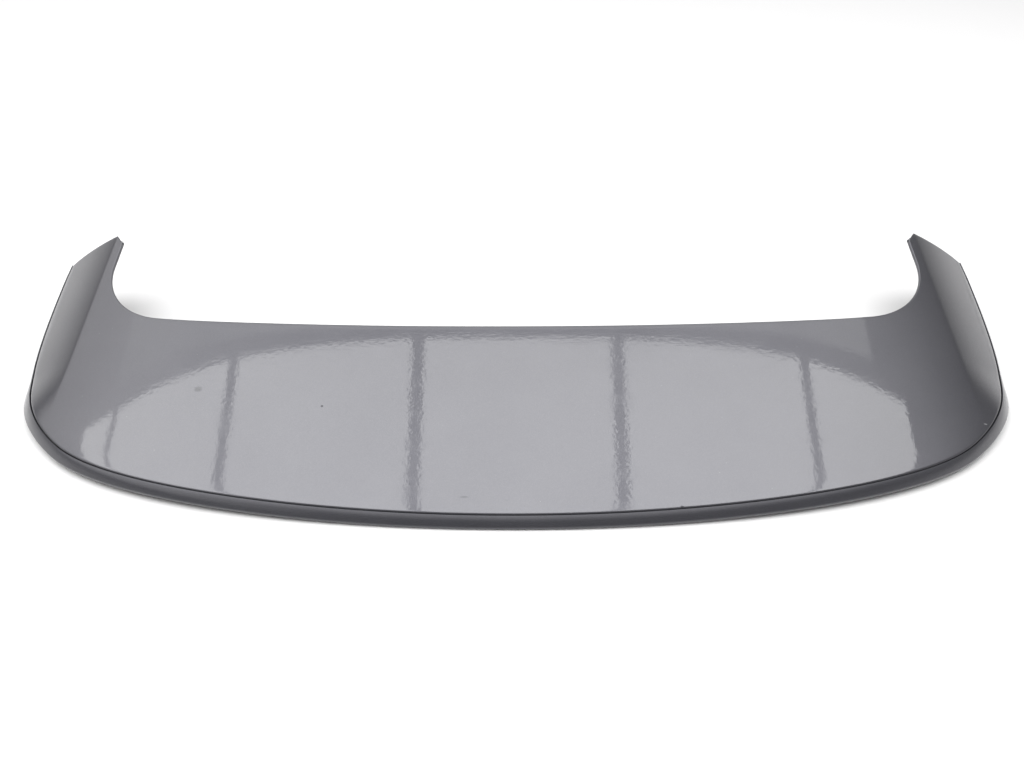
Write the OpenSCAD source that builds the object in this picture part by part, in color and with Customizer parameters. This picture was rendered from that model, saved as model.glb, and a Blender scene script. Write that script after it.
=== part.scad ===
// Roof spoiler for a hatchback tailgate: a painted two-shell wing with two
// forward-reaching arms round a U-shaped bay, bonded shells, and its mounting hardware.
// +X runs across the car, +Y points forward to the roof, +Z is up.
// The origin is the middle of the base, where the spoiler stands on its lip and heel.

/* [Plan] */
// Half of the width over the arms' outer edges
half_w = 598; // [592:1:604]
// Depth of the wing on the centre line
chord = 228; // [222:1:234]
// Forward reach of the arm tips from the trailing edge
reach = 397; // [390:1:404]
// Distance of the arms' crease from the centre line
crease_x = 523; // [520:1:526]
// Distance of the arms' inner edge from the centre line
bay_x = 511; // [508:1:513]
// How far the trailing edge sweeps forward where its corner begins
corner_y = 92; // [86:1:98]

/* [Top surface] */
// Height of the trailing edge line above the base, on the centre line
edge_z = 13; // [13:0.5:15]
// Slope of the top from trailing edge to roof edge, in degrees
pitch = 16; // [15:0.5:17]
// Drop of the crowned top at the crease line
crown = 25; // [22:1:27]
// Exponent of the crown, higher keeps the middle flatter
crown_n = 4.5; // [4:0.1:5]
// Extra outward slope of the arms' outer faces
face_slope = 0.2; // [0.15:0.01:0.24]
// Growth of that slope with distance from the crease, per millimetre
face_curve = 0.001; // [0:0.0005:0.0015]

/* [Shells] */
// Wall thickness of the two shells
wall = 3; // [2.5:0.1:3.2]
// Bond gap between the shells
bond = 0.6; // [0.5:0.1:0.8]
// Width of the open joint line along the trailing edge
joint = 0.6; // [0.5:0.1:1]
// Horizontal width of the slanted rim
rim_w = 10; // [9:0.5:11]
// Height of the slanted rim
rim_h = 10; // [9:0.5:10]
// Extra width of the rim where it rounds the corners
rim_flare = 1; // [0:0.5:2]
// Width and height of the rim along the arms
arm_rim = 3; // [2.5:0.5:4]
// Depth of the lower shell under the middle of the wing
belly = 27; // [22:1:28]
// Depth of the arms below their top faces
arm_depth = 20; // [16:1:22]

/* [Mounting] */
// Distance between neighbouring threaded inserts
insert_pitch = 190; // [180:1:196]
// Forward position of the inserts from the trailing edge
insert_y = 206; // [204:1:208]
// Outer radius of a threaded insert
insert_r = 4.5; // [4:0.1:5]
// Radius of the inserts' tapped hole
tapped_r = 2.5; // [2:0.1:3]
// Height of a threaded insert
insert_h = 16; // [14:1:20]
// Radius of a boss block
boss_r = 12; // [10:0.5:12]
// Height of a boss block
boss_h = 28; // [24:1:34]
// Radius of the locating pins
pin_r = 4; // [3:0.5:5]
// Length of a locating pin in front of the shell
pin_len = 15; // [12:1:18]
// Distance of the locating pins from the centre line
pin_x = 200; // [170:1:240]
// Height of the locating pins above the base
pin_z = 34; // [28:1:42]
// Radius of the round foam gaskets
gasket_r = 16; // [14:1:17]

/* [Hidden] */
$fn = 48;

NA = 16;                 // stations along half of the trailing edge
NB = 15;                 // stations round the corner and along the arm
NC = 3;                  // stations in the arm tip
NS = NA + NB + NC;
// the base's middle is the origin
y_low = -rim_w;
y_mid = (y_low + reach) / 2;

function sst(t) = let (q = min(1, max(0, t))) q * q * (3 - 2 * q);
function mix(a, b, t) = a + (b - a) * t;
function bz(a, b, c, d, t) = let (s = 1 - t) s*s*s*a + 3*s*s*t*b + 3*s*t*t*c + t*t*t*d;
function dbz(a, b, c, d, t) = let (s = 1 - t) 3*s*s*(b - a) + 6*s*t*(c - b) + 3*t*t*(d - c);
function unit(v) = v / norm(v);

// ---- plan curves, trailing edge at y = 0, right half ----
OA = [[0, 0], [210, 0], [420, 30], [half_w - 98, corner_y]];
OB = [OA[3], [half_w - 13, corner_y + 66], [half_w, corner_y + 154], [half_w, 360]];
OC = [OB[3], [half_w, 372], [half_w - 1, 382], [half_w - 2, reach - 6]];
IA = [[0, chord], [150, chord], [325, chord + 3], [425, chord + 22]];
IB = [IA[3], [475, chord + 31], [bay_x, 301], [bay_x, 347]];
IC = [IB[3], [bay_x, 360], [bay_x, 372], [bay_x, reach - 13]];

// station i runs from 0 on the centre line to NS at the arm tip
function seg(i) = i <= NA ? 0 : i <= NA + NB ? 1 : 2;
function par(i) = i <= NA ? i / NA : i <= NA + NB ? (i - NA) / NB : (i - NA - NB) / NC;
function on(C, i) = let (c = C[seg(i)], t = par(i)) bz(c[0], c[1], c[2], c[3], t);
function dir(C, i) = let (c = C[seg(i)], t = par(i)) unit(dbz(c[0], c[1], c[2], c[3], t));
function O(i) = on([OA, OB, OC], i);
function I(i) = on([IA, IB, IC], i);
function nO(i) = let (d = dir([OA, OB, OC], i)) [d.y, -d.x];
function nI(i) = let (d = dir([IA, IB, IC], i)) [-d.y, d.x];
// the crease line, and the share of the section it cuts off near the trailing edge
function kf(i) = let (a = I(i).x, b = O(i).x) b <= crease_x ? 0.86 : min(0.86, (crease_x - a) / (b - a));
function K(i) = let (p = mix(I(i), O(i), kf(i))) [p.x, p.y + (seg(i) == 2 ? 12 * par(i) * par(i) : 0)];

// ---- top surface ----
function zt(p) = let (x = abs(p.x), d = max(0, x - crease_x))
    edge_z + tan(pitch) * p.y - crown * pow(x / crease_x, crown_n)
    - sst((p.y - 110) / 100) * (face_slope * d + face_curve * d * d);

// ---- rim and underside ----
function armish(i) = sst((O(i).y - 165) / 55);
function rw(i) = mix(rim_w + rim_flare * exp(-pow((O(i).y - 155) / 35, 2)), arm_rim, armish(i));
function rh(i) = mix(rim_h + rim_flare * exp(-pow((O(i).y - 155) / 35, 2)) / 2, arm_rim, armish(i));
function base(i) = mix(rim_h + 3, 8, armish(i));
function heel(i) = 1 - sst((I(i).x - 372) / 56);
// u is 0 at the trailing or outer edge and 1 at the roof or bay edge
function zu(i, u) = let (
    p = sec(i, 1 - u), z = zt(p),
    mid = z - base(i) - belly * sst(u / 0.8),
    arm = z - base(i) - (arm_depth - 8) * sst(u / 0.5) + (base(i) + arm_depth - 8 - 5.5) * sst((u - 0.68) / 0.32),
    a = mix(arm, mid, heel(i)))
    mix(a, 0, heel(i) * sst((u - 0.66) / 0.08));
// plan point of a section, f = 0 at the bay edge, 1 at the outer edge
function sec(i, f) = let (k = kf(i)) f <= k ? mix(I(i), K(i), f / k) : mix(K(i), O(i), (f - k) / (1 - k));

function at(i, p, z) = [(i < 0 ? -p.x : p.x), p.y - y_mid, z];
// shares of a section at which it has points, from the bay edge out
FK = [0.2, 0.4, 0.6, 0.8, 1];
FO = [0.35, 0.7];
function cols(i) = let (k = kf(i)) concat([for (f = FK) f * k], [for (f = FO) mix(k, 1, f)]);
// the same counted from the outer edge in, for the underside
UU = [0.1, 0.2, 0.34, 0.48, 0.6, 0.68, 0.73, 0.78, 0.86];

// skin through a list of rings, with the two end faces given as triangles
module skin(rings, cap) {
    n = len(rings[0]);
    m = len(rings);
    pts = [for (r = rings) each r];
    polyhedron(pts, concat(
        [for (i = [0 : m - 2], j = [0 : n - 1]) let (a = i * n + j, b = i * n + (j + 1) % n) each
            [[a, b + n, b], [a, a + n, b + n]]],
        cap,
        [for (t = cap) [t[2] + (m - 1) * n, t[1] + (m - 1) * n, t[0] + (m - 1) * n]]), convexity = 10);
}

// ---- upper shell: one ring over the top and back under it ----
function top_ring(i) = let (
    a = abs(i), c = cols(a), nn = len(c),
    pi = I(a), po = O(a), pi1 = I(a) - nI(a) * 1.4, po1 = O(a) - nO(a) * 1.4,
    top = concat([at(i, pi, zt(pi) - 1.2), at(i, pi1, zt(pi1))],
                 [for (f = c) let (p = sec(a, f)) at(i, p, zt(p))],
                 [at(i, po1, zt(po1)), at(i, po, zt(po) - 1.2)]),
    bot = concat([at(i, po, zt(po) - wall), at(i, po1, zt(po1) - wall)],
                 [for (j = [nn - 1 : -1 : 0]) let (p = sec(a, c[j])) at(i, p, zt(p) - wall)],
                 [at(i, pi1, zt(pi1) - wall), at(i, pi, zt(pi) - wall)]))
    concat(top, bot);
TR = 2 * (len(FK) + len(FO) + 4);
top_cap = [for (j = [0 : TR / 2 - 2]) each [[j, j + 1, TR - 1 - j], [j + 1, TR - 2 - j, TR - 1 - j]]];

module upper_shell() {
    color([0.36, 0.36, 0.39]) skin([for (i = [-NS : NS]) top_ring(i)], top_cap);
}

// ---- lower shell: rebate, slanted rim, underside, front wall, and back along the floor ----
seat = wall + bond;
function fl(i, u) = let (p = sec(i, 1 - u)) min(zu(i, u) + wall, zt(p) - seat - 0.25);
function u_in(i) = 1 - 5 / norm(O(i) - I(i));
function u_out(i) = 6 / norm(O(i) - I(i));
function us(i) = concat([u_out(i)], [for (u = UU) mix(u_out(i), u_in(i), u)], [u_in(i)]);
function low_ring(i) = let (
    a = abs(i), o = O(a), n = nO(a), q = I(a) - nI(a) * 0.5, z = zt(o), w = rw(a), h = rh(a),
    u = us(a), m = len(u), p0 = sec(a, 1 - u[0]), pm = sec(a, 1 - u[m - 1]))
    concat([
        at(i, p0, zt(p0) - seat),
        at(i, o + n * joint, zt(o + n * joint) - seat),
        at(i, o + n * joint, z - 0.5),
        at(i, o + n * (joint + 1), z - 0.9),
        at(i, o + n * w, z - h),
        at(i, o + n * (w - 0.3), z - h - (base(a) - h) / 2),
        at(i, o + n * (w - 2), z - base(a))],
        [for (v = u) at(i, sec(a, 1 - v), zu(a, v))],
        [at(i, q, zu(a, 1)), at(i, q, zt(q) - seat), at(i, pm, zt(pm) - seat)],
        [for (j = [m - 1 : -1 : 0]) at(i, sec(a, 1 - u[j]), fl(a, u[j]))]);
MU = len(UU) + 2;
LR = 7 + MU + 3 + MU;
// rim fan from the rebate corner, wall fan, and the strip between underside and floor
low_cap = concat(
    [for (j = [2 : 6]) [1, j, j + 1]],
    [[1, 7, LR - 1], [1, LR - 1, 0]],
    [for (j = [0 : MU - 2]) each [[7 + j, 8 + j, LR - 2 - j], [7 + j, LR - 2 - j, LR - 1 - j]]],
    [[7 + MU, 8 + MU, 9 + MU], [7 + MU, 9 + MU, 10 + MU], [7 + MU, 10 + MU, 6 + MU]]);

insert_xs = [-1.5, -0.5, 0.5, 1.5] * insert_pitch;
module each_insert() for (x = insert_xs) translate([x, insert_y - y_mid, 0]) children();
module each_pin() for (s = [-1, 1]) translate([s * pin_x, chord - y_mid, pin_z]) rotate([-90, 0, 0]) children();

module lower_shell() {
    color([0.33, 0.33, 0.36]) difference() {
        skin([for (i = [-NS : NS]) low_ring(i)], low_cap);
        each_insert() translate([0, 0, -1]) cylinder(r = insert_r + 0.1, h = wall + 2);
        each_insert() translate([0, 0, -1]) cylinder(r = gasket_r + 0.2, h = 2.2);
        each_pin() translate([0, 0, -12]) cylinder(r = pin_r - 0.4, h = 24);
    }
}

// ---- adhesive in the bond gap, along the outer rim and along the bay edge ----
slack = 0.15;            // each side of the bead
function bead_ring(i, side) = let (
    a = abs(i), p = side ? O(a) : I(a), n = side ? nO(a) : nI(a), g = side ? 1.2 : 1.5, e = side ? 4.6 : 4.2,
    p1 = p - n * g, p2 = p - n * e)
    [at(i, p1, zt(p1) - wall - slack), at(i, p1, zt(p1) - seat + slack), at(i, p2, zt(p2) - seat + slack), at(i, p2, zt(p2) - wall - slack)];
bead_cap = [[0, 1, 2], [0, 2, 3]];
module adhesive_bead() {
    color([0.12, 0.12, 0.12]) {
        skin([for (i = [-NS : NS]) bead_ring(i, true)], bead_cap);
        skin([for (i = [-NS : NS]) [for (j = [3 : -1 : 0]) bead_ring(i, false)[j]]], bead_cap);
    }
}

// ---- caps that close the open ends of the arms ----
tc_u = [0.16, 0.3, 0.44, 0.58, 0.7, 0.8];
function cap_col(u, back) = let (
    p = sec(NS, 1 - u), q = [p.x, p.y - back], zf = fl(NS, u))
    [[q.x, q.y - y_mid, zf + 0.05 - (back > 2 ? 1.15 : 0.3)], [q.x, q.y - y_mid, zt(p) - wall - 0.12 - (back > 2 ? 1.3 : 0.35)]];
module tip_cap_right() {
    color([0.1, 0.1, 0.1]) hull_strip();
}
module tip_cap_left() {
    color([0.1, 0.1, 0.1]) mirror([1, 0, 0]) hull_strip();
}
module hull_strip() {
    n = len(tc_u);
    rings = [for (j = [n - 1 : -1 : 0]) let (u = tc_u[j]) let (f = cap_col(u, 1), b = cap_col(u, 4)) [
        [f[0].x, f[0].y, f[0].z + 0.5], [f[1].x, f[1].y, f[1].z - 0.5],
        [b[1].x, b[1].y, b[1].z], [b[0].x, b[0].y, b[0].z + 2.2]]];
    skin(rings, [[0, 1, 2], [0, 2, 3]]);
}

// ---- rubber seal along the roof edge ----
NR = NA + 4;
function seal_ring(i) = let (a = abs(i), n = nI(a), p = I(a) - n * 0.45, z = zt(p) - seat - 2)
    [for (c = [[0, 0], [2.6, -0.6], [4.6, -2.4], [5, -4.6], [4.4, -7], [2.4, -9], [0, -9.8]]) at(i, p + n * c.x, z + c.y)];
seal_cap = [for (j = [1 : 5]) [0, j, j + 1]];
module roof_edge_seal() {
    color([0.06, 0.06, 0.06]) skin([for (i = [-NR : NR]) [for (j = [6 : -1 : 0]) seal_ring(i)[j]]], seal_cap);
}

// ---- mounting hardware inside and under the heel ----
module boss_blocks() {
    color([0.14, 0.14, 0.15]) each_insert() translate([0, 0, wall + 2]) difference() {
        union() {
            cylinder(r = boss_r, h = 5);
            cylinder(r = boss_r - 3, h = boss_h);
        }
        translate([0, 0, -1]) cylinder(r = insert_r + 0.05, h = insert_h + 2);
        translate([0, 0, insert_h]) cylinder(r = tapped_r + 0.8, h = boss_h);
    }
}

module reinforcement_bar() {
    color([0.6, 0.6, 0.62]) difference() {
        translate([-1.5 * insert_pitch - 30, insert_y - 11 - y_mid, wall]) cube([3 * insert_pitch + 60, 22, 2]);
        each_insert() cylinder(r = insert_r + 0.1, h = wall + 10);
        for (x = [-1, 0, 1] * insert_pitch) translate([x, insert_y - y_mid, 0]) cylinder(r = 6, h = wall + 10);
    }
}

module threaded_inserts() {
    color([0.72, 0.58, 0.3]) each_insert() difference() {
        union() {
            translate([0, 0, 1.2]) cylinder(r = insert_r - 0.4, h = insert_h);
            translate([0, 0, 1.2]) cylinder(r = insert_r, h = insert_h * 0.36);
            translate([0, 0, 1.2 + insert_h * 0.5]) cylinder(r = insert_r, h = insert_h * 0.4);
        }
        cylinder(r = tapped_r, h = insert_h + 10);
    }
}

module base_gaskets() {
    color([0.08, 0.08, 0.08]) each_insert() difference() {
        cylinder(r = gasket_r, h = 1.2);
        translate([0, 0, -1]) cylinder(r = insert_r + 1.5, h = 4);
    }
}

module locating_pins() {
    color([0.85, 0.84, 0.8]) each_pin() {
        translate([0, 0, -5]) cylinder(r = pin_r + 4, h = 2.6);
        translate([0, 0, -5]) cylinder(r = pin_r - 0.5, h = 9);
        translate([0, 0, 3.2]) cylinder(r = pin_r, h = pin_len - 5.2);
        translate([0, 0, pin_len - 2]) cylinder(r1 = pin_r, r2 = pin_r - 1.5, h = 2);
    }
}

// ---- fixings under the arms, each square to the underside where it sits ----
clip_at = [[538, 266], [538, 338]];
foam_at = [538, 302];
module on_arms(list) for (s = [0, 1]) mirror([s, 0, 0]) for (p = list) let (
    sx = (zt(p + [1, 0]) - zt(p - [1, 0])) / 2,
    sy = (zt(p + [0, 1]) - zt(p - [0, 1])) / 2)
    translate([p.x, p.y - y_mid, zt(p) - arm_depth - 0.3])
        rotate([asin(sy / norm([sx, sy, 1])), atan(-sx), 0]) children();

module clip_holders() {
    color([0.13, 0.13, 0.14]) on_arms(clip_at) difference() {
        translate([-9, -9, -7]) cube([18, 18, 7]);
        translate([-7, -10, -4.6]) cube([14, 17, 3.4]);
        translate([0, 0, -10]) cylinder(r = 3.2, h = 7);
        translate([-3.2, -12, -10]) cube([6.4, 12, 7]);
    }
}

module arm_clips() {
    color([0.9, 0.9, 0.87]) on_arms(clip_at) {
        translate([0, 0, -4.4]) cylinder(r = 6.6, h = 2.6);
        translate([0, 0, -7.4]) cylinder(r = 3, h = 3.2);
        translate([0, 0, -8.6]) cylinder(r = 8, h = 1.4);
        translate([0, 0, -19]) cylinder(r = 2.2, h = 10.6);
        for (k = [0 : 3]) translate([0, 0, -11 - 2.2 * k]) cylinder(r1 = 2.2, r2 = 3.8 - 0.25 * k, h = 1.3);
        translate([0, 0, -20.5]) cylinder(r1 = 1, r2 = 2.2, h = 1.6);
    }
}

module arm_foam_pads() {
    color([0.07, 0.07, 0.07]) on_arms([foam_at]) translate([-7, -20, -5]) cube([14, 40, 5]);
}

upper_shell();
lower_shell();
adhesive_bead();
tip_cap_left();
tip_cap_right();
roof_edge_seal();
boss_blocks();
reinforcement_bar();
threaded_inserts();
base_gaskets();
locating_pins();
clip_holders();
arm_clips();
arm_foam_pads();
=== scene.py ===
import math

import bmesh
import bpy
import numpy as np
from mathutils import Matrix, Vector

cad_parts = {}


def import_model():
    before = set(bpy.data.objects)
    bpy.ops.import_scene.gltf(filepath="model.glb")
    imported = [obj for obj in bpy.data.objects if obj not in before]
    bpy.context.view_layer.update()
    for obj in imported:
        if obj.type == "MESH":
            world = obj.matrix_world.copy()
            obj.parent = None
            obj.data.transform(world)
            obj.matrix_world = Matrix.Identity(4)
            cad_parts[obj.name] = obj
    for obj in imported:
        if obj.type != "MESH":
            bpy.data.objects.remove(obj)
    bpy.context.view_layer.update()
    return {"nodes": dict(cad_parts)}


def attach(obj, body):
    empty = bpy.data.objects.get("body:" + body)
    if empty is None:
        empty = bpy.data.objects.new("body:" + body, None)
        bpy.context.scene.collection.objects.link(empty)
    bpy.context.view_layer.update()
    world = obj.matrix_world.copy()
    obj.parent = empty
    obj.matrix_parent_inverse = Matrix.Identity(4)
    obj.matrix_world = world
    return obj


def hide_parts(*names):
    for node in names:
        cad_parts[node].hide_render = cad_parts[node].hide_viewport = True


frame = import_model()
scene = bpy.context.scene
nodes = frame["nodes"]


# ------------------------------------------------------------------ camera
def camera():
    data = bpy.data.cameras.new("camera")
    data.sensor_fit = "HORIZONTAL"
    data.sensor_width = 36.0
    data.lens = 770 / 1024 * 36.0
    data.clip_start, data.clip_end = 0.02, 60
    cam = bpy.data.objects.new("camera", data)
    scene.collection.objects.link(cam)
    down, yaw, roll = (math.radians(a) for a in (41.18, -0.77, -0.60))
    fw = Vector((math.sin(yaw) * math.cos(down), math.cos(yaw) * math.cos(down), -math.sin(down)))
    rt = Vector((math.cos(yaw), -math.sin(yaw), 0))
    up = rt.cross(fw)
    r = rt * math.cos(roll) + up * math.sin(roll)
    u = -rt * math.sin(roll) + up * math.cos(roll)
    m = Matrix((r, u, -fw)).transposed().to_4x4()
    m.translation = Vector((0.0079, -0.6886, 0.6200))
    cam.matrix_world = m
    scene.camera = cam


camera()

# ------------------------------------------------------------------ the part's own numbers, in millimetres
HALF_W, CHORD, REACH, CREASE, BAY, CORNER = 598.0, 228.0, 397.0, 523.0, 511.0, 92.0
EDGE_Z, PITCH, CROWN, CROWN_N = 13.0, math.tan(math.radians(16)), 25.0, 4.5
FACE_S, FACE_C = 0.2, 0.001
WALL, BOND, JOINT = 3.0, 0.6, 0.6
RIM_W, RIM_H, RIM_FLARE, ARM_RIM = 10.0, 10.0, 1.0, 3.0
BELLY, ARM_DEPTH = 27.0, 20.0
SEAT = WALL + BOND
Y_MID = (REACH - RIM_W) / 2
OUTER = [[(0, 0), (210, 0), (420, 30), (HALF_W - 98, CORNER)],
         [(HALF_W - 98, CORNER), (HALF_W - 13, CORNER + 66), (HALF_W, CORNER + 154), (HALF_W, 360)],
         [(HALF_W, 360), (HALF_W, 372), (HALF_W - 1, 382), (HALF_W - 2, REACH - 6)]]
INNER = [[(0, CHORD), (150, CHORD), (325, CHORD + 3), (425, CHORD + 22)],
         [(425, CHORD + 22), (475, CHORD + 31), (BAY, 301), (BAY, 347)],
         [(BAY, 347), (BAY, 360), (BAY, 372), (BAY, REACH - 13)]]


def sst(t):
    q = np.clip(t, 0, 1)
    return q * q * (3 - 2 * q)


def mix(a, b, t):
    return a + (b - a) * t


def bezier(curves, w):
    """Points and unit tangents of three joined curves at w from 0 to 3."""
    w = np.atleast_1d(np.asarray(w, float))
    k = np.minimum(w.astype(int), 2)
    c = np.array(curves, float)[k]
    t = (w - k)[:, None]
    s = 1 - t
    p = s**3 * c[:, 0] + 3 * s * s * t * c[:, 1] + 3 * s * t * t * c[:, 2] + t**3 * c[:, 3]
    d = 3 * s * s * (c[:, 1] - c[:, 0]) + 6 * s * t * (c[:, 2] - c[:, 1]) + 3 * t * t * (c[:, 3] - c[:, 2])
    return p, d / np.linalg.norm(d, axis=1)[:, None]


class Plan:
    """The two plan curves, their outward normals and the crease line at stations w."""

    def __init__(self, w):
        self.w = np.atleast_1d(np.asarray(w, float))
        self.O, d = bezier(OUTER, self.w)
        self.nO = np.stack([d[:, 1], -d[:, 0]], 1)
        self.I, d = bezier(INNER, self.w)
        self.nI = np.stack([-d[:, 1], d[:, 0]], 1)
        a, b = self.I[:, 0], self.O[:, 0]
        k = np.where(b <= CREASE, 0.86, np.minimum(0.86, (CREASE - a) / np.maximum(b - a, 1)))
        self.k = k
        self.K = mix(self.I, self.O, k[:, None])
        self.K[:, 1] += 12 * np.maximum(0, self.w - 2) ** 2
        self.length = np.linalg.norm(self.O - self.I, axis=1)

    def sec(self, f):
        """f is one value or one value a station, 0 at the bay edge and 1 at the outer edge."""
        f = np.broadcast_to(np.asarray(f, float), self.w.shape)
        k = self.k
        a = mix(self.I, self.K, (f / k)[:, None])
        b = mix(self.K, self.O, ((f - k) / (1 - k))[:, None])
        return np.where((f <= k)[:, None], a, b)


SOFT = 2.6  # half width in which the crease turns over


def zt(p):
    """Height of the top surface over plan points, with the crease rounded."""
    x, y = np.abs(p[..., 0]), p[..., 1]
    e = x - CREASE
    d = (np.sqrt(e * e + SOFT * SOFT) + e) / 2
    d = np.where(e < -60, 0, d)
    return EDGE_Z + PITCH * y - CROWN * (x / CREASE) ** CROWN_N - sst((y - 110) / 100) * (FACE_S * d + FACE_C * d * d)


def armish(P):
    return sst((P.O[:, 1] - 165) / 55)


def flare(P):
    return RIM_FLARE * np.exp(-((P.O[:, 1] - 155) / 35) ** 2)


def rim_width(P):
    return mix(RIM_W + flare(P), ARM_RIM, armish(P))


def rim_height(P):
    return mix(RIM_H + flare(P) / 2, ARM_RIM, armish(P))


def rim_base(P):
    return mix(RIM_H + 3, 8, armish(P))


def heel(P):
    return 1 - sst((P.I[:, 0] - 372) / 56)


def under(P, u):
    """Height of the underside, u from 0 at the outer edge to 1 at the bay edge."""
    z = zt(P.sec(1 - u))
    b = rim_base(P)
    mid = z - b - BELLY * sst(u / 0.8)
    arm = z - b - (ARM_DEPTH - 8) * sst(u / 0.5) + (b + ARM_DEPTH - 8 - 5.5) * sst((u - 0.68) / 0.32)
    a = mix(arm, mid, heel(P))
    return mix(a, 0 * a, heel(P) * sst((u - 0.66) / 0.08))


# ------------------------------------------------------------------ mesh helpers
def stations():
    """Signed stations from one arm tip to the other, closer together where the outline turns."""
    half = np.concatenate([np.linspace(0, 1, 101)[:-1], np.linspace(1, 2, 101)[:-1], np.linspace(2, 2.9, 9)])
    return np.concatenate([-half[::-1], half[1:]])


def build(name, verts, faces, smooth=35, body="root"):
    me = bpy.data.meshes.new(name)
    me.from_pydata(np.asarray(verts, float) / 1000.0, [], faces)
    me.validate()
    me.update()
    bm = bmesh.new()
    bm.from_mesh(me)
    bmesh.ops.recalc_face_normals(bm, faces=bm.faces)
    bm.to_mesh(me)
    bm.free()
    me.shade_smooth()
    if smooth:
        me.set_sharp_from_angle(angle=math.radians(smooth))
    o = bpy.data.objects.new(name, me)
    scene.collection.objects.link(o)
    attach(o, body)
    return o


def loft(rings, cap_pairs=None, caps=True):
    """Vertices and faces of a closed loft through rings of one length. cap_pairs lists index quads that close the two ends."""
    m, n = len(rings), len(rings[0])
    verts = np.concatenate(rings)
    faces = []
    for i in range(m - 1):
        a, b = i * n, (i + 1) * n
        for j in range(n):
            k = (j + 1) % n
            faces.append((a + j, a + k, b + k, b + j))
    if caps:
        for off in (0, (m - 1) * n):
            for q in cap_pairs:
                face = tuple(off + i for i in dict.fromkeys(q))
                faces.append(face if off else face[::-1])
    return verts, faces


def place(xy, z, sign):
    """Plan points and heights to the part's frame, on the left where sign is -1."""
    return np.stack([xy[:, 0] * sign, xy[:, 1] - Y_MID, z], 1)


# ------------------------------------------------------------------ upper shell
R_EDGE = 1.9      # radius of the painted edge
ROLL, ROLL_W = 0.32, 13.0   # gentle roll-off next to the trailing and outer edge


def surface(P, f, pull_i, pull_o):
    """Plan point and height of the top for one column."""
    p = P.sec(f) - P.nI * np.reshape(pull_i, (-1, 1)) - P.nO * np.reshape(pull_o, (-1, 1))
    s = np.einsum("ij,ij->i", P.O - p, P.nO)
    roll = ROLL * np.clip(1 - s / ROLL_W, 0, 1) ** 2
    return p, zt(p) - roll


def tip_normal(P, f):
    """Outward plan normal of the arm's end face at share f."""
    a = np.array([-0.735, 0.678])
    b = np.array([0.08, 0.997])
    t = sst((f - P.k[0] + 0.06) / 0.12)
    n = a * (1 - t) + b * t
    return n / np.linalg.norm(n)


def upper_shell():
    S = stations()
    P = Plan(np.abs(S))
    sign = np.where(S < 0, -1.0, 1.0)
    n_in, n_out = 44, 34
    cols = []      # (name, function of plan giving xy, z)
    arc = np.radians([90, 72, 54, 36, 18])

    def column_set(P):
        """All points of the ring at every station of P, as lists of (xy, z), from the bay edge over the top and back under."""
        top = []
        # bay edge, from the vertical face up onto the top
        zc = surface(P, 0, R_EDGE, 0)[1]
        for a in arc:
            off = R_EDGE * math.sin(a)
            p = P.I - P.nI * (R_EDGE - off)
            top.append((p, zt(p) - R_EDGE + R_EDGE * math.cos(a)))
        fs = []
        for j in range(n_in + 1):
            fs.append((j / n_in) * P.k)
        for j in range(1, n_out + 1):
            fs.append(P.k + (1 - P.k) * (j / n_out) ** 1.35)
        L = P.length
        for f in fs:
            gi = R_EDGE * (1 - sst(f * L / 16))
            go = R_EDGE * (1 - sst((1 - f) * L / 16))
            top.append(surface(P, f, gi, go))
        for a in arc[::-1]:
            off = R_EDGE * math.sin(a)
            p = P.O - P.nO * (R_EDGE - off)
            s = R_EDGE - off
            top.append((p, zt(p) - ROLL * (1 - s / ROLL_W) ** 2 - R_EDGE + R_EDGE * math.cos(a)))
        return top

    def under_set(P, top):
        out = []
        for p, z in top[::-1]:
            out.append((p, zt(p) - WALL))
        return out

    rings = []
    top = column_set(P)
    bot = under_set(P, top)
    n = len(top)
    T = np.stack([place(p, z, sign) for p, z in top + bot], 1)   # stations x columns x 3
    # rounded end of each arm
    E = Plan([3.0])
    et = column_set(E)
    fe = np.concatenate([[0] * 5, np.linspace(0, 1, n_in + 1) * E.k[0], E.k[0] + (1 - E.k[0]) * (np.arange(1, n_out + 1) / n_out) ** 1.35, [1] * 5])
    normal = np.array([tip_normal(E, f) for f in fe])
    ends = []
    for a in np.radians([0, 18, 36, 54, 72, 90]):
        q = np.array([p[0] for p, z in et]) - normal * R_EDGE * (1 - math.sin(a))
        lip = np.array([(zt(p) - z)[0] for p, z in et])
        z = zt(q) - lip - R_EDGE * (1 - math.cos(a)) * (1 - 0.0)
        z = np.maximum(z, zt(q) - WALL + 0.35)
        ring = np.concatenate([np.stack([q[:, 0], q[:, 1] - Y_MID, z], 1),
                               np.stack([q[:, 0], q[:, 1] - Y_MID, zt(q) - WALL], 1)[::-1]])
        ends.append(ring)
    right = ends
    left = [r * np.array([-1, 1, 1]) for r in ends[::-1]]
    rings = left + [T[i] for i in range(len(S))] + right
    m = n
    pairs = [(j, j + 1, 2 * m - 2 - j, 2 * m - 1 - j) for j in range(m - 1)]
    v, f = loft(rings, pairs)
    o = build("painted_upper_shell", v, f, smooth=50)
    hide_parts("upper_shell")
    return o


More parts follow.
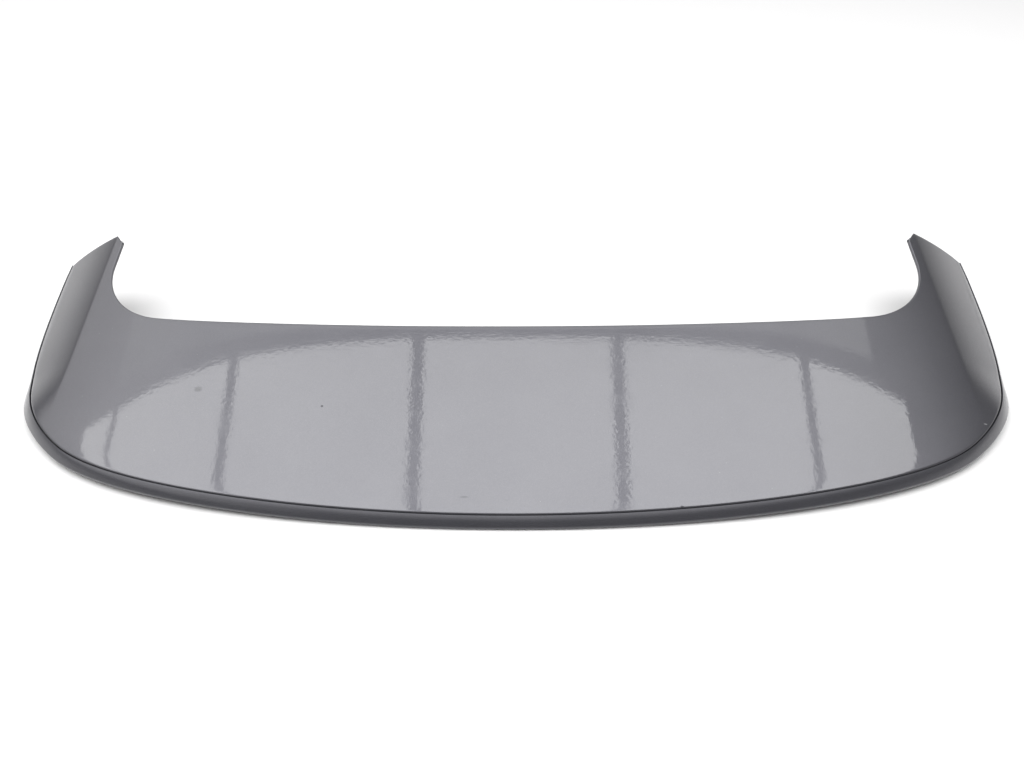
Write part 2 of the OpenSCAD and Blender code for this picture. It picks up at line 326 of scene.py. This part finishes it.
# ------------------------------------------------------------------ lower shell
def lower_shell():
    S = stations()
    S = np.concatenate([[-3.0], S, [3.0]])
    P = Plan(np.abs(S))
    sign = np.where(S < 0, -1.0, 1.0)
    L = P.length
    ui, uo = 1 - 5 / L, 6 / L
    O, nO = P.O, P.nO
    w, h, b = rim_width(P)[:, None], rim_height(P), rim_base(P)
    w1 = w[:, 0]
    z = zt(O)
    pts = []

    def add(p, height):
        pts.append(place(p, height, sign))

    def edge(off, height):
        add(O + nO * np.reshape(off, (-1, 1)), height)

    p0 = P.sec(1 - uo)
    add(p0, zt(p0) - SEAT)                      # 0 inner corner of the rebate
    j = O + nO * JOINT
    add(j, zt(j) - SEAT)                        # 1 bottom of the open joint
    lip_r = np.minimum(0.55, (w1 - JOINT) * 0.22)
    z_lip = z - ROLL - 0.35
    for a in np.radians([0, 30, 60, 90]):       # rounded lip of the rim
        edge(JOINT + lip_r * (1 - math.cos(a)), z_lip - lip_r * (1 - math.sin(a)))
    # slanted face, a little fuller in the middle
    x0, z0 = JOINT + lip_r, z_lip
    rb = np.minimum(1.1, 0.24 * w1)
    x1, z1 = w1 - rb * 0.45, z - h + rb * 0.9
    for t in np.linspace(0, 1, 12)[1:]:
        bulge = 0.42 * np.sin(math.pi * t) * (w1 / RIM_W) + 0.55 * (1 - t) ** 3 * t * 4 * lip_r
        edge(mix(x0, x1, t) + bulge * 0.7, mix(z0, z1, t) + bulge * 0.7)
    # rounded lower edge of the rim, then the short return under it
    edge(w1 - rb * 0.12, z - h + rb * 0.35)
    edge(w1, z - h)
    edge(w1 - 0.02, z - h - (b - h) * 0.3)
    edge(w1 - 0.25, z - h - (b - h) * 0.62)
    edge(w1 - 0.8, z - b + (b - h) * 0.1)
    edge(w1 - 2.0, z - b + 0 * w1)
    n_rim = len(pts)
    cols = np.concatenate([[0.0, 0.03], np.linspace(0.07, 0.62, 16), np.linspace(0.64, 0.80, 14), np.linspace(0.83, 0.97, 6), [0.99]])
    for c in cols:
        u = mix(uo, ui, c)
        add(P.sec(1 - u), under(P, u))
    last = len(pts)
    # front wall with a rounded foot
    q = P.I - P.nI * 0.5
    rf = mix(1.2, 1.6, heel(P))
    foot = under(P, np.ones(len(S)))
    for a in np.radians([0, 30, 60, 90]):
        off = rf * (1 - math.sin(a))
        add(q - P.nI * off[:, None], foot + rf * (1 - math.cos(a)))
    top = zt(q) - SEAT
    for t in (0.25, 0.5, 0.75):
        add(q, mix(foot + rf, top - 0.4, t))
    add(q, top - 0.4)
    add(q - P.nI * 0.4, top)
    pm = P.sec(1 - ui)
    add(pm, zt(pm) - SEAT)
    inner = []
    for c in cols[::-1]:
        u = mix(uo, ui, c)
        p = P.sec(1 - u)
        inner.append(place(p, np.minimum(under(P, u) + WALL, zt(p) - SEAT - 0.25), sign))
    n_wall = len(pts)
    allp = pts + inner
    R = np.stack(allp, 1)
    N = R.shape[1]
    m = len(cols)
    # the end faces: rim fan, strip between underside and floor, wall
    pairs = []
    for k in range(2, n_rim - 1):
        pairs.append((1, k, k + 1))
    pairs.append((1, n_rim - 1, n_rim, N - 1))
    pairs.append((0, 1, N - 1))
    for k in range(m - 1):
        pairs.append((n_rim + k, n_rim + k + 1, N - 2 - k, N - 1 - k))
    inner0 = n_wall                               # the inner point next to the wall
    for k in range(n_rim + m - 1, n_wall - 1):
        pairs.append((k, k + 1, inner0))
    v, f = loft(list(R), pairs)
    o = build("rim_and_lower_shell", v, f, smooth=0)
    me = o.data
    # paint reaches from the joint over the rim and a little way under it, and up the front wall
    mask = np.zeros((len(S), N), np.float32)
    mask[:, :n_rim] = 1.0
    fade = 1 - sst((cols - 0.02) / 0.10)
    mask[:, n_rim:n_rim + m] = fade
    mask[:, last:n_wall] = np.linspace(0.0, 0.9, n_wall - last) ** 0.5
    att = me.attributes.new("paint_mask", "FLOAT", "POINT")
    att.data.foreach_set("value", mask.ravel())
    # holes for the inserts, gaskets and pins, as in the part
    bm = bmesh.new()

    def cyl(x, y, z, r, h, axis="Z"):
        m4 = Matrix.Translation((x / 1000, y / 1000, z / 1000))
        if axis == "Y":
            m4 = m4 @ Matrix.Rotation(math.radians(-90), 4, "X")
        m4 = m4 @ Matrix.Translation((0, 0, h / 2000))
        bmesh.ops.create_cone(bm, cap_ends=True, segments=64, radius1=r / 1000, radius2=r / 1000, depth=h / 1000, matrix=m4)

    cutters = []
    for kind in ("holes", "recesses"):
        bm = bmesh.new()
        for x in INSERT_X:
            if kind == "holes":
                cyl(x, INSERT_Y, -1, 4.6, WALL + 2)
            else:
                cyl(x, INSERT_Y, -1, 16.2, 2.2)
        if kind == "holes":
            for x in (-200, 200):
                cyl(x, CHORD - Y_MID - 12, 34, 3.6, 24, "Y")
        cm = bpy.data.meshes.new(kind)
        bm.to_mesh(cm)
        bm.free()
        c = bpy.data.objects.new(kind, cm)
        scene.collection.objects.link(c)
        cutters.append(c)
    for c in cutters:
        mod = o.modifiers.new("cut", "BOOLEAN")
        mod.operation, mod.solver, mod.object = "DIFFERENCE", "MANIFOLD", c
    bpy.context.view_layer.update()
    dg = bpy.context.evaluated_depsgraph_get()
    new = bpy.data.meshes.new_from_object(o.evaluated_get(dg))
    o.modifiers.clear()
    o.data = new
    new.shade_smooth()
    new.set_sharp_from_angle(angle=math.radians(48))
    for c in cutters:
        bpy.data.objects.remove(c)
    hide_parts("lower_shell")
    return o


INSERT_X = [-285.0, -95.0, 95.0, 285.0]
INSERT_Y = 206.0 - Y_MID


# ------------------------------------------------------------------ roof edge seal
def seal():
    half = np.linspace(0, 1 + 4 / 15, 150)
    S = np.concatenate([-half[::-1], half[1:]])
    P = Plan(np.abs(S))
    sign = np.where(S < 0, -1.0, 1.0)
    base = P.I - P.nI * 0.45
    z = zt(base) - SEAT - 2
    # flat back against the wall, a hollow-looking D section in front with a thin lip on top
    prof = [(0, 0), (1.0, -0.15), (2.0, -0.35), (2.6, -0.75), (2.9, -1.15), (3.5, -1.5), (4.2, -2.1), (4.7, -3.0), (4.93, -4.0),
            (4.9, -5.0), (4.65, -6.1), (4.1, -7.2), (3.2, -8.2), (2.2, -8.95), (1.2, -9.35), (0.5, -9.6), (0, -9.7)]
    R = np.stack([place(base + P.nI * a, z + b, sign) for a, b in prof], 1)
    n = len(prof)
    pairs = [(0, k, k + 1) for k in range(1, n - 1)]
    v, f = loft(list(R), pairs)
    o = build("roof_seal", v, f, smooth=60)
    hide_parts("roof_edge_seal")
    return o


# ------------------------------------------------------------------ materials
def tree(name):
    m = bpy.data.materials.new(name)
    m.use_nodes = True
    t = m.node_tree
    t.nodes.clear()
    out = t.nodes.new("ShaderNodeOutputMaterial")
    bs = t.nodes.new("ShaderNodeBsdfPrincipled")
    t.links.new(bs.outputs["BSDF"], out.inputs["Surface"])
    return m, t, bs


class N:
    """Short names for building a node tree."""

    def __init__(self, t):
        self.t = t
        self.co = t.nodes.new("ShaderNodeTexCoord").outputs["Object"]

    def node(self, kind, **sockets):
        n = self.t.nodes.new(kind)
        for k, v in sockets.items():
            self.set(n.inputs[k.replace("_", " ")], v)
        return n

    def set(self, socket, v):
        if hasattr(v, "is_output") or isinstance(v, bpy.types.NodeSocket):
            self.t.links.new(v, socket)
        else:
            socket.default_value = v

    def noise(self, scale, detail=3.0, rough=0.55, co=None, dist=0.0, out="Fac"):
        n = self.node("ShaderNodeTexNoise", Vector=co or self.co, Scale=scale, Detail=detail, Roughness=rough, Distortion=dist)
        return n.outputs[out]

    def stretch(self, x, y, z, rot=(0, 0, 0)):
        n = self.t.nodes.new("ShaderNodeMapping")
        self.set(n.inputs["Vector"], self.co)
        n.inputs["Scale"].default_value = (x, y, z)
        n.inputs["Rotation"].default_value = rot
        return n.outputs[0]

    def voronoi(self, scale, feature="F1", out="Color", co=None, rnd=1.0):
        n = self.t.nodes.new("ShaderNodeTexVoronoi")
        n.feature = feature
        self.set(n.inputs["Vector"], co or self.co)
        n.inputs["Scale"].default_value = scale
        n.inputs["Randomness"].default_value = rnd
        return n.outputs[out]

    def math(self, op, a, b=None, clamp=False):
        n = self.t.nodes.new("ShaderNodeMath")
        n.operation, n.use_clamp = op, clamp
        self.set(n.inputs[0], a)
        if b is not None:
            self.set(n.inputs[1], b)
        return n.outputs[0]

    def vec(self, op, a, b=None, out=0):
        n = self.t.nodes.new("ShaderNodeVectorMath")
        n.operation = op
        self.set(n.inputs[0], a)
        if b is not None:
            self.set(n.inputs[1], b)
        return n.outputs[out]

    def scale(self, a, s):
        n = self.t.nodes.new("ShaderNodeVectorMath")
        n.operation = "SCALE"
        self.set(n.inputs[0], a)
        self.set(n.inputs["Scale"], s)
        return n.outputs[0]

    def ramp(self, v, lo, hi, a=0.0, b=1.0, smooth=True):
        n = self.t.nodes.new("ShaderNodeMapRange")
        n.interpolation_type = "SMOOTHSTEP" if smooth else "LINEAR"
        self.set(n.inputs["Value"], v)
        for k, x in zip(("From Min", "From Max", "To Min", "To Max"), (lo, hi, a, b)):
            n.inputs[k].default_value = x
        return n.outputs[0]

    def mixc(self, fac, a, b):
        n = self.t.nodes.new("ShaderNodeMix")
        n.data_type = "RGBA"
        self.set(n.inputs["Factor"], fac)
        self.set(n.inputs["A"] if False else n.inputs[6], a)
        self.set(n.inputs[7], b)
        return n.outputs[2]

    def bump(self, height, strength, distance, normal=None):
        n = self.t.nodes.new("ShaderNodeBump")
        n.inputs["Strength"].default_value = strength
        n.inputs["Distance"].default_value = distance
        self.set(n.inputs["Height"], height)
        if normal is not None:
            self.set(n.inputs["Normal"], normal)
        return n.outputs[0]


def rgb(r, g, b):
    return (r, g, b, 1.0)


# wear on the paint, and one painted highlight on the right arm's crease (tone painted_highlight): (x, y) in millimetres
# in the part's frame, half length, half width, angle, tone
MARKS = [(-208.9, -70.7, 1.4, 1.1, 0.0, "dark"), (-49.0, -175.2, 4.6, 0.32, 2.0, "dark"), (-6.0, -178.4, 3.0, 0.45, -6.0, "faint"),
         (-5.7, -187.9, 1.0, 0.7, 0.0, "faint"), (82.8, -180.0, 0.9, 0.9, 0.0, "faint"), (171.2, -185.0, 1.6, 0.9, 0.0, "dark"),
         (-352.3, -46.0, 4.5, 3.4, 10.0, "smudge"), (522.4, -74.0, 2.6, 0.5, 80.0, "painted_highlight")]


def mark_mask(n, tones):
    total = None
    for x, y, a, b, ang, tone in MARKS:
        if tone not in tones:
            continue
        off = n.vec("SUBTRACT", n.co, (x / 1000, y / 1000, 0))
        m = n.t.nodes.new("ShaderNodeMapping")
        m.vector_type = "POINT"
        n.set(m.inputs["Vector"], off)
        m.inputs["Rotation"].default_value = (0, 0, math.radians(-ang))
        m.inputs["Scale"].default_value = (1000 / a, 1000 / b, 0)
        d = n.vec("LENGTH", m.outputs[0], out="Value")
        wob = n.noise(900, 2)
        d = n.math("ADD", d, n.ramp(wob, 0.2, 0.8, -0.35, 0.35, False))
        k = n.ramp(d, 1.25, 0.6)
        total = k if total is None else n.math("MAXIMUM", total, k)
    return total


def painted(name, with_mask=False):
    m, t, bs = tree(name)
    n = N(t)
    # flakes: each cell tips the base layer's normal a little
    cells = n.voronoi(3600)
    tip = n.vec("SUBTRACT", cells, (0.5, 0.5, 0.5))
    geo = t.nodes.new("ShaderNodeNewGeometry")
    flaked = n.vec("NORMALIZE", n.vec("ADD", geo.outputs["Normal"], n.scale(tip, 0.13)))
    # colour: metallic grey with a faint violet cast, clouded a little, flakes vary in brightness
    cloud = n.noise(9, 4)
    flake_v = t.nodes.new("ShaderNodeSeparateXYZ")
    n.set(flake_v.inputs[0], cells)
    c = n.mixc(n.ramp(cloud, 0.3, 0.7), rgb(0.047, 0.047, 0.055), rgb(0.052, 0.052, 0.060))
    c = n.mixc(n.ramp(flake_v.outputs[0], 0.55, 1.0, 0.0, 0.35), c, rgb(0.095, 0.095, 0.105))
    # fine dust and polish haze, broken up, in streaks across the car
    haze = n.noise(14, 4, 0.6, n.stretch(0.6, 2.6, 2.6))
    fine = n.noise(160, 3, 0.6, n.stretch(0.16, 1.6, 1.6))
    rough = n.math("ADD", n.ramp(haze, 0.35, 0.75, 0.028, 0.060), n.ramp(fine, 0.45, 0.8, 0.0, 0.022))
    dark = mark_mask(n, ("dark",))
    faint = mark_mask(n, ("faint", "smudge"))
    # painted highlight: a lighter streak of colour along the right arm's crease, where the crease catches the light
    painted_highlight = mark_mask(n, ("painted_highlight",))
    c = n.mixc(n.math("MULTIPLY", dark, 0.75), c, rgb(0.012, 0.012, 0.014))
    c = n.mixc(n.math("MULTIPLY", faint, 0.35), c, rgb(0.030, 0.031, 0.029))
    # lightens the paint along the right crease: a painted highlight
    c = n.mixc(n.math("MULTIPLY", painted_highlight, 0.55), c, rgb(0.50, 0.50, 0.52))
    # a few specks of dust
    dust = n.voronoi(75, out="Distance")
    dust_m = n.math("MULTIPLY", n.ramp(dust, 0.035, 0.015), n.ramp(n.noise(5, 2), 0.48, 0.6))
    c = n.mixc(n.math("MULTIPLY", dust_m, 0.35), c, rgb(0.30, 0.30, 0.29))
    coat_w = n.math("SUBTRACT", 1.0, n.math("MULTIPLY", n.math("MAXIMUM", dark, dust_m), 0.8), clamp=True)
    rough = n.math("ADD", rough, n.math("MULTIPLY", n.math("MAXIMUM", faint, dust_m), 0.22))
    bs.inputs["Metallic"].default_value = 0.82
    bs.inputs["Roughness"].default_value = 0.40
    # clear coat with the slightest orange peel
    peel = n.bump(n.noise(210, 2, 0.5), 0.05, 0.0006)
    scratch = n.noise(420, 2, 0.5, n.stretch(0.05, 1.0, 1.0, (0, 0, 0.06)))
    peel = n.bump(n.ramp(scratch, 0.62, 0.72), 0.10, 0.00003, peel)
    chip = n.bump(n.math("MAXIMUM", dark, n.math("MULTIPLY", faint, 0.3)), 0.6, -0.00012, peel)
    bs.inputs["Coat Weight"].default_value = 1.0
    bs.inputs["Coat IOR"].default_value = 1.5
    n.set(bs.inputs["Coat Normal"], chip)
    if with_mask:
        att = t.nodes.new("ShaderNodeAttribute")
        att.attribute_name = "paint_mask"
        grain = n.noise(260, 4, 0.65)
        edge = n.math("ADD", att.outputs["Fac"], n.ramp(grain, 0.2, 0.8, -0.22, 0.22, False))
        k = n.ramp(edge, 0.38, 0.66)
        mott = n.noise(30, 5)
        black = n.mixc(n.ramp(mott, 0.35, 0.7), rgb(0.020, 0.020, 0.021), rgb(0.034, 0.034, 0.035))
        c = n.mixc(k, black, c)
        n.set(bs.inputs["Metallic"], n.math("MULTIPLY", k, 0.82))
        n.set(bs.inputs["Roughness"], n.math("SUBTRACT", 0.62, n.math("MULTIPLY", k, 0.18)))
        coat_w = n.math("MULTIPLY", coat_w, k)
        tex = n.bump(n.math("MULTIPLY", n.noise(1500, 3), n.math("SUBTRACT", 1.0, k)), 0.35, 0.0003, flaked)
        n.set(bs.inputs["Normal"], tex)
    else:
        n.set(bs.inputs["Normal"], flaked)
    n.set(bs.inputs["Base Color"], c)
    n.set(bs.inputs["Coat Weight"], coat_w)
    n.set(bs.inputs["Coat Roughness"], rough)
    return m


def moulded(name, a, b, rough=(0.45, 0.62), grain=1400, depth=0.00025):
    m, t, bs = tree(name)
    n = N(t)
    mott = n.noise(40, 4)
    n.set(bs.inputs["Base Color"], n.mixc(n.ramp(mott, 0.3, 0.7), rgb(*a), rgb(*b)))
    n.set(bs.inputs["Roughness"], n.ramp(n.noise(90, 4), 0.3, 0.7, *rough))
    n.set(bs.inputs["Normal"], n.bump(n.noise(grain, 3, 0.6), 0.3, depth))
    return m


def metal(name, a, b, stretch, rough=(0.24, 0.42), scale=700):
    m, t, bs = tree(name)
    n = N(t)
    bs.inputs["Metallic"].default_value = 1.0
    lines = n.noise(scale, 4, 0.6, n.stretch(*stretch))
    n.set(bs.inputs["Base Color"], n.mixc(n.ramp(n.noise(60, 4), 0.3, 0.7), rgb(*a), rgb(*b)))
    n.set(bs.inputs["Roughness"], n.ramp(lines, 0.3, 0.7, *rough))
    n.set(bs.inputs["Normal"], n.bump(lines, 0.2, 0.00008))
    return m


def foam(name):
    m, t, bs = tree(name)
    n = N(t)
    cell = n.voronoi(1500, out="Distance")
    n.set(bs.inputs["Base Color"], n.mixc(n.ramp(cell, 0.1, 0.6), rgb(0.018, 0.018, 0.019), rgb(0.050, 0.050, 0.052)))
    bs.inputs["Roughness"].default_value = 0.9
    n.set(bs.inputs["Normal"], n.bump(cell, 0.7, 0.0006))
    return m


def rubber(name):
    m, t, bs = tree(name)
    n = N(t)
    dust = n.noise(120, 5, 0.7)
    n.set(bs.inputs["Base Color"], n.mixc(n.ramp(dust, 0.55, 0.8), rgb(0.016, 0.016, 0.017), rgb(0.055, 0.055, 0.053)))
    n.set(bs.inputs["Roughness"], n.ramp(dust, 0.3, 0.8, 0.42, 0.66))
    n.set(bs.inputs["Normal"], n.bump(n.noise(900, 3), 0.25, 0.0002))
    return m


# ------------------------------------------------------------------ build
shell = upper_shell()
lower = lower_shell()
strip = seal()

M = {
    "paint": painted("metallic_paint"),
    "paint_lower": painted("metallic_paint_and_base", True),
    "black": moulded("black_plastic", (0.019, 0.019, 0.020), (0.034, 0.034, 0.035)),
    "white": moulded("natural_plastic", (0.66, 0.65, 0.60), (0.76, 0.75, 0.70), (0.32, 0.5), 900, 0.0001),
    "steel": metal("zinc_plate", (0.50, 0.51, 0.52), (0.62, 0.62, 0.62), (0.04, 1.0, 1.0)),
    "brass": metal("turned_brass", (0.66, 0.50, 0.24), (0.78, 0.62, 0.34), (0.2, 0.2, 1.0), (0.18, 0.34), 1600),
    "foam": foam("closed_cell_foam"),
    "rubber": rubber("satin_rubber"),
    "adhesive": moulded("cured_adhesive", (0.014, 0.014, 0.015), (0.028, 0.028, 0.028), (0.3, 0.5), 500, 0.0004),
}


def wear(o, mat):
    o.data.materials.clear()
    o.data.materials.append(mat)


wear(shell, M["paint"])
wear(lower, M["paint_lower"])
wear(strip, M["rubber"])
for node, mat in {"adhesive_bead": "adhesive", "tip_cap_left": "black", "tip_cap_right": "black", "boss_blocks": "black",
                  "reinforcement_bar": "steel", "threaded_inserts": "brass", "base_gaskets": "foam", "locating_pins": "white",
                  "clip_holders": "black", "arm_clips": "white", "arm_foam_pads": "foam"}.items():
    o = nodes[node]
    if not o.data.materials:
        o.data.materials.append(M[mat])
    for s in o.material_slots:
        s.link = "DATA"
        s.material = M[mat]

# ------------------------------------------------------------------ floor
def floor():
    me = bpy.data.meshes.new("floor")
    bm = bmesh.new()
    bmesh.ops.create_circle(bm, cap_ends=True, segments=96, radius=9.0)
    bm.to_mesh(me)
    bm.free()
    o = bpy.data.objects.new("floor", me)
    scene.collection.objects.link(o)
    o.location = (0, 0, -0.0002)
    m, t, bs = tree("pale_floor")
    n = N(t)
    bs.inputs["Base Color"].default_value = rgb(0.55, 0.55, 0.55)
    bs.inputs["Specular IOR Level"].default_value = 0.1
    n.set(bs.inputs["Roughness"], n.ramp(n.noise(3, 3), 0.3, 0.7, 0.75, 0.9))
    me.materials.append(m)


floor()

# ------------------------------------------------------------------ lamps: a row of overhead panels with gaps, and a soft room
PANEL_H = 2.5
CAM = Vector((0.0079, -0.6886, 0.6200))


def panel(name, corners, strength, colour=(1, 1, 1)):
    me = bpy.data.meshes.new(name)
    me.from_pydata([(x, y, PANEL_H) for x, y in corners], [], [(3, 2, 1, 0)])
    o = bpy.data.objects.new(name, me)
    scene.collection.objects.link(o)
    m = bpy.data.materials.new(name)
    m.use_nodes = True
    t = m.node_tree
    t.nodes.clear()
    out = t.nodes.new("ShaderNodeOutputMaterial")
    em = t.nodes.new("ShaderNodeEmission")
    em.inputs["Strength"].default_value = strength
    em.inputs["Color"].default_value = rgb(*colour)
    t.links.new(em.outputs[0], out.inputs[0])
    me.materials.append(m)
    o.visible_camera = False


# far edge of the row at given x, and the edges of each panel, in metres at the panels' height
def far(x):
    return 1.118 - 0.118 * (abs(x) / 2.4) ** 1.3 if abs(x) < 2.4 else 1.0


Y0 = -Y_MID / 1000
EDGES = [(-2.95, -2.57), (-2.50, -1.495), (-1.430, -0.480), (-0.425, 0.425), (0.480, 1.455), (1.515, 2.375)]
for i, (a, b) in enumerate(EDGES):
    panel("panel_%d" % i, [(a, -0.9 + Y0), (b, -0.9 + Y0), (b, far(b) + Y0), (a, far(a) + Y0)], 5.4)
# dimmer ceiling past the panels' far edge
panel("panel_far", [(-2.6, 1.165 + Y0), (2.1, 1.165 + Y0), (2.1, 2.6 + Y0), (-2.6, 2.6 + Y0)], 2.2)


def world():
    w = bpy.data.worlds.new("room")
    scene.world = w
    w.use_nodes = True
    t = w.node_tree
    t.nodes.clear()
    n = N(t)
    out = t.nodes.new("ShaderNodeOutputWorld")
    bg = t.nodes.new("ShaderNodeBackground")
    gen = t.nodes.new("ShaderNodeTexCoord").outputs["Generated"]
    sep = t.nodes.new("ShaderNodeSeparateXYZ")
    n.set(sep.inputs[0], gen)
    x, y, z = sep.outputs
    low = n.ramp(z, 0.42, 0.10)                       # pale surroundings near the horizon
    left = n.math("MULTIPLY", n.ramp(x, -0.25, -0.75), n.ramp(z, 0.35, 0.55))
    up = n.ramp(z, 0.55, 0.85)
    v = n.math("ADD", n.math("MULTIPLY", low, 0.85), n.math("MULTIPLY", left, 1.35))
    v = n.math("ADD", v, n.math("MULTIPLY", up, 1.1))
    v = n.math("ADD", v, 0.22)
    n.set(bg.inputs["Strength"], v)
    bg.inputs["Color"].default_value = rgb(1.0, 0.99, 1.0)
    t.links.new(bg.outputs[0], out.inputs[0])


world()
scene.view_settings.view_transform = "Standard"
scene.view_settings.look = "None"
scene.view_settings.exposure = 0.0
scene.view_settings.gamma = 1.0
